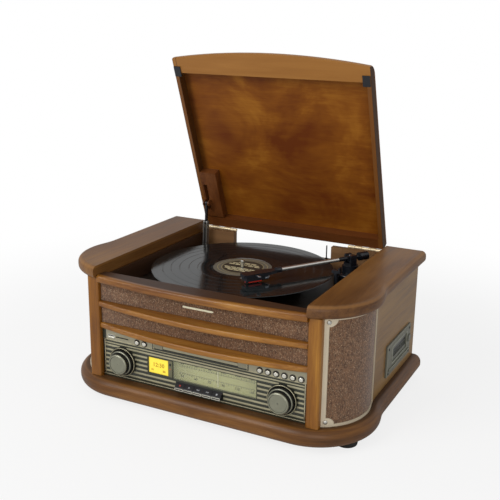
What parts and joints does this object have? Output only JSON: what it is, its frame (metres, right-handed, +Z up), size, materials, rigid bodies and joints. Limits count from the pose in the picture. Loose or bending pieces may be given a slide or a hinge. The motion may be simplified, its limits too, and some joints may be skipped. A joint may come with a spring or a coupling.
{
  "type": "stereo music centre",
  "caption": "Retro wooden music centre: lidded turntable, tuning dial with knobs and keys, disc tray, side cassette slot and speakers in rounded front corners.",
  "frame": {"origin": "on the supporting surface, under the middle of the bounding box of the set with its lid standing open", "axes": "+X to the right as seen from the front, +Y to the back, +Z up"},
  "size_m": [0.521, 0.3708, 0.5451],
  "materials": {
    "stained_wood": "satin lacquer, honey-brown",
    "dark_board": "matt painted board",
    "black_rubber": "matt",
    "speaker_cloth": "woven, brown-mauve with light flecks",
    "champagne_trim": "satin champagne",
    "khaki_metal": "satin, striped",
    "clear_window": "clear",
    "lit_display": "lit yellow",
    "dial_card": "printed card",
    "black_plastic": "satin",
    "tape_deck_plastic": "satin metallic paint",
    "motor_steel": "plated",
    "circuit_board": "solder mask",
    "brass_hinge": "bright",
    "silver_metal": "polished",
    "zinc_link": "zinc plated",
    "black_link": "black",
    "black_vinyl": "grooved gloss",
    "knob_plastic": "pewter face, black skirt",
    "pointer_plastic": "pale",
    "silver_button": "silvered",
    "key_plastic": "black with silver nose"
  },
  "bodies": {
    "cabinet": {"plinth": "stained_wood", "feet": "black_rubber", "left_side_wall": "stained_wood", "right_side_wall": "stained_wood", "left_shoulder": "stained_wood", "right_shoulder": "stained_wood", "front_posts": "stained_wood", "rear_wall": "dark_board", "jack_panel": "black_plastic", "top_rail": "stained_wood", "bowed_rails": "stained_wood", "cloth_panels": "speaker_cloth", "grille_frames": "champagne_trim", "grille_cloths": "speaker_cloth", "speaker_drivers": "dark_board", "fascia": "khaki_metal", "dial_window": "clear_window", "dial_plate": "dial_card", "display": "lit_display", "media_sockets": "black_plastic", "cd_drive": "black_plastic", "turntable_deck": "black_plastic", "belt_drive": "motor_steel", "arm_base": "black_plastic", "cassette_deck": "tape_deck_plastic", "amplifier_board": "circuit_board", "wall_hinge_leaves": "brass_hinge"},
    "lid": {"lid_frame": "stained_wood", "lid_panel": "stained_wood", "stay_block": "stained_wood", "lid_pads": "black_rubber", "lid_hinge_leaves": "brass_hinge"},
    "stay_lower": {"stay_lower_link": "zinc_link"},
    "stay_upper": {"stay_upper_link": "black_link"},
    "turning_platter": {"platter": "silver_metal", "record": "black_vinyl"},
    "gimbal": {"arm_gimbal": "silver_metal"},
    "arm": {"tonearm": "silver_metal", "headshell": "black_plastic"},
    "cue": {"cue_lever": "black_plastic"},
    "volume": {"volume_knob": "knob_plastic"},
    "tuning": {"tuning_knob": "knob_plastic"},
    "pointer": {"dial_pointer": "pointer_plastic"},
    "disc_tray": {"cd_tray": "tape_deck_plastic"},
    "tape_flap": {"cassette_flap": "black_plastic"},
    "eject": {"eject_button": "tape_deck_plastic"},
    "speed": {"speed_switch": "black_plastic"},
    "moving_left_button_1": {"left_button_1": "silver_button"},
    "moving_left_button_2": {"left_button_2": "silver_button"},
    "moving_right_button_1": {"right_button_1": "silver_button"},
    "moving_right_button_2": {"right_button_2": "silver_button"},
    "moving_right_button_3": {"right_button_3": "silver_button"},
    "moving_right_button_4": {"right_button_4": "silver_button"},
    "moving_right_button_5": {"right_button_5": "silver_button"},
    "moving_right_button_6": {"right_button_6": "silver_button"},
    "moving_key_1": {"key_1": "key_plastic"},
    "moving_key_2": {"key_2": "key_plastic"},
    "moving_key_3": {"key_3": "key_plastic"},
    "moving_key_4": {"key_4": "key_plastic"},
    "moving_key_5": {"key_5": "key_plastic"}
  },
  "joints": [
    {"name": "lid_hinge", "type": "hinge", "parent": "cabinet", "child": "lid", "pos_m": [0, 0.16618, 0.2141], "axis": [1, 0, 0], "range_deg": [0, 69.9]},
    {"name": "stay_base_hinge", "type": "hinge", "parent": "cabinet", "child": "stay_lower", "pos_m": [-0.161, 0.13568, 0.18], "axis": [1, 0, 0], "range_deg": [0, 94.96]},
    {"name": "stay_elbow_hinge", "type": "hinge", "parent": "stay_lower", "child": "stay_upper", "pos_m": [-0.161, 0.13918, 0.229], "axis": [1, 0, 0], "range_deg": [-134.96, 0]},
    {"name": "platter_spin", "type": "hinge", "parent": "cabinet", "child": "turning_platter", "pos_m": [-0.014, 0.00518, 0.1992], "axis": [0, 0, 1], "continuous": true},
    {"name": "arm_swing", "type": "hinge", "parent": "cabinet", "child": "gimbal", "pos_m": [0.14, 0.09918, 0.215], "axis": [0, 0, 1], "range_deg": [-10, 33]},
    {"name": "arm_lift", "type": "hinge", "parent": "gimbal", "child": "arm", "pos_m": [0.14, 0.09918, 0.215], "axis": [-0.8406, 0.5417, 0], "range_deg": [0, 2.8]},
    {"name": "cue_lever_hinge", "type": "hinge", "parent": "cabinet", "child": "cue", "pos_m": [0.165, 0.06518, 0.187], "axis": [1, 0, 0], "range_deg": [-50, 0]},
    {"name": "volume_turn", "type": "hinge", "parent": "cabinet", "child": "volume", "pos_m": [-0.14, -0.16882, 0.069], "axis": [0, 1, 0], "range_deg": [-150, 150]},
    {"name": "tuning_turn", "type": "hinge", "parent": "cabinet", "child": "tuning", "pos_m": [0.14, -0.16882, 0.069], "axis": [0, 1, 0], "range_deg": [-460, 397]},
    {"name": "pointer_slide", "type": "slide", "parent": "cabinet", "child": "pointer", "axis": [1, 0, 0], "range_m": [-0.0725, 0.0625]},
    {"name": "left_button_1_press", "type": "slide", "parent": "cabinet", "child": "moving_left_button_1", "axis": [0, 1, 0], "range_m": [0, 0.0015], "stiffness_N_per_m": 200, "springref_m": -0.0015},
    {"name": "left_button_2_press", "type": "slide", "parent": "cabinet", "child": "moving_left_button_2", "axis": [0, 1, 0], "range_m": [0, 0.0015], "stiffness_N_per_m": 200, "springref_m": -0.0015},
    {"name": "right_button_1_press", "type": "slide", "parent": "cabinet", "child": "moving_right_button_1", "axis": [0, 1, 0], "range_m": [0, 0.0015], "stiffness_N_per_m": 200, "springref_m": -0.0015},
    {"name": "right_button_2_press", "type": "slide", "parent": "cabinet", "child": "moving_right_button_2", "axis": [0, 1, 0], "range_m": [0, 0.0015], "stiffness_N_per_m": 200, "springref_m": -0.0015},
    {"name": "right_button_3_press", "type": "slide", "parent": "cabinet", "child": "moving_right_button_3", "axis": [0, 1, 0], "range_m": [0, 0.0015], "stiffness_N_per_m": 200, "springref_m": -0.0015},
    {"name": "right_button_4_press", "type": "slide", "parent": "cabinet", "child": "moving_right_button_4", "axis": [0, 1, 0], "range_m": [0, 0.0015], "stiffness_N_per_m": 200, "springref_m": -0.0015},
    {"name": "right_button_5_press", "type": "slide", "parent": "cabinet", "child": "moving_right_button_5", "axis": [0, 1, 0], "range_m": [0, 0.0015], "stiffness_N_per_m": 200, "springref_m": -0.0015},
    {"name": "right_button_6_press", "type": "slide", "parent": "cabinet", "child": "moving_right_button_6", "axis": [0, 1, 0], "range_m": [0, 0.0015], "stiffness_N_per_m": 200, "springref_m": -0.0015},
    {"name": "key_1_press", "type": "slide", "parent": "cabinet", "child": "moving_key_1", "axis": [0, 1, 0], "range_m": [0, 0.003], "stiffness_N_per_m": 150, "springref_m": -0.002},
    {"name": "key_2_press", "type": "slide", "parent": "cabinet", "child": "moving_key_2", "axis": [0, 1, 0], "range_m": [0, 0.003], "stiffness_N_per_m": 150, "springref_m": -0.002},
    {"name": "key_3_press", "type": "slide", "parent": "cabinet", "child": "moving_key_3", "axis": [0, 1, 0], "range_m": [0, 0.003], "stiffness_N_per_m": 150, "springref_m": -0.002},
    {"name": "key_4_press", "type": "slide", "parent": "cabinet", "child": "moving_key_4", "axis": [0, 1, 0], "range_m": [0, 0.003], "stiffness_N_per_m": 150, "springref_m": -0.002},
    {"name": "key_5_press", "type": "slide", "parent": "cabinet", "child": "moving_key_5", "axis": [0, 1, 0], "range_m": [0, 0.003], "stiffness_N_per_m": 150, "springref_m": -0.002},
    {"name": "cd_tray_slide", "type": "slide", "parent": "cabinet", "child": "disc_tray", "axis": [0, -1, 0], "range_m": [0, 0.14]},
    {"name": "cassette_flap_hinge", "type": "hinge", "parent": "cabinet", "child": "tape_flap", "pos_m": [0.23785, 0.07618, 0.0908], "axis": [0, 1, 0], "range_deg": [0, 80], "stiffness_Nm_per_rad": 0.004, "springref_deg": -17.19},
    {"name": "eject_button_press", "type": "slide", "parent": "cabinet", "child": "eject", "axis": [-1, 0, 0], "range_m": [0, 0.003], "stiffness_N_per_m": 150, "springref_m": -0.002},
    {"name": "speed_switch_slide", "type": "slide", "parent": "cabinet", "child": "speed", "axis": [0, 1, 0], "range_m": [0, 0.012]}
  ],
  "couplings": [
    {"joint": "stay_base_hinge", "follows": "lid_hinge", "ratio": 1.3513},
    {"joint": "stay_elbow_hinge", "follows": "lid_hinge", "ratio": -1.9236},
    {"joint": "pointer_slide", "follows": "tuning_turn", "m_per_rad": 0.009}
  ]
}
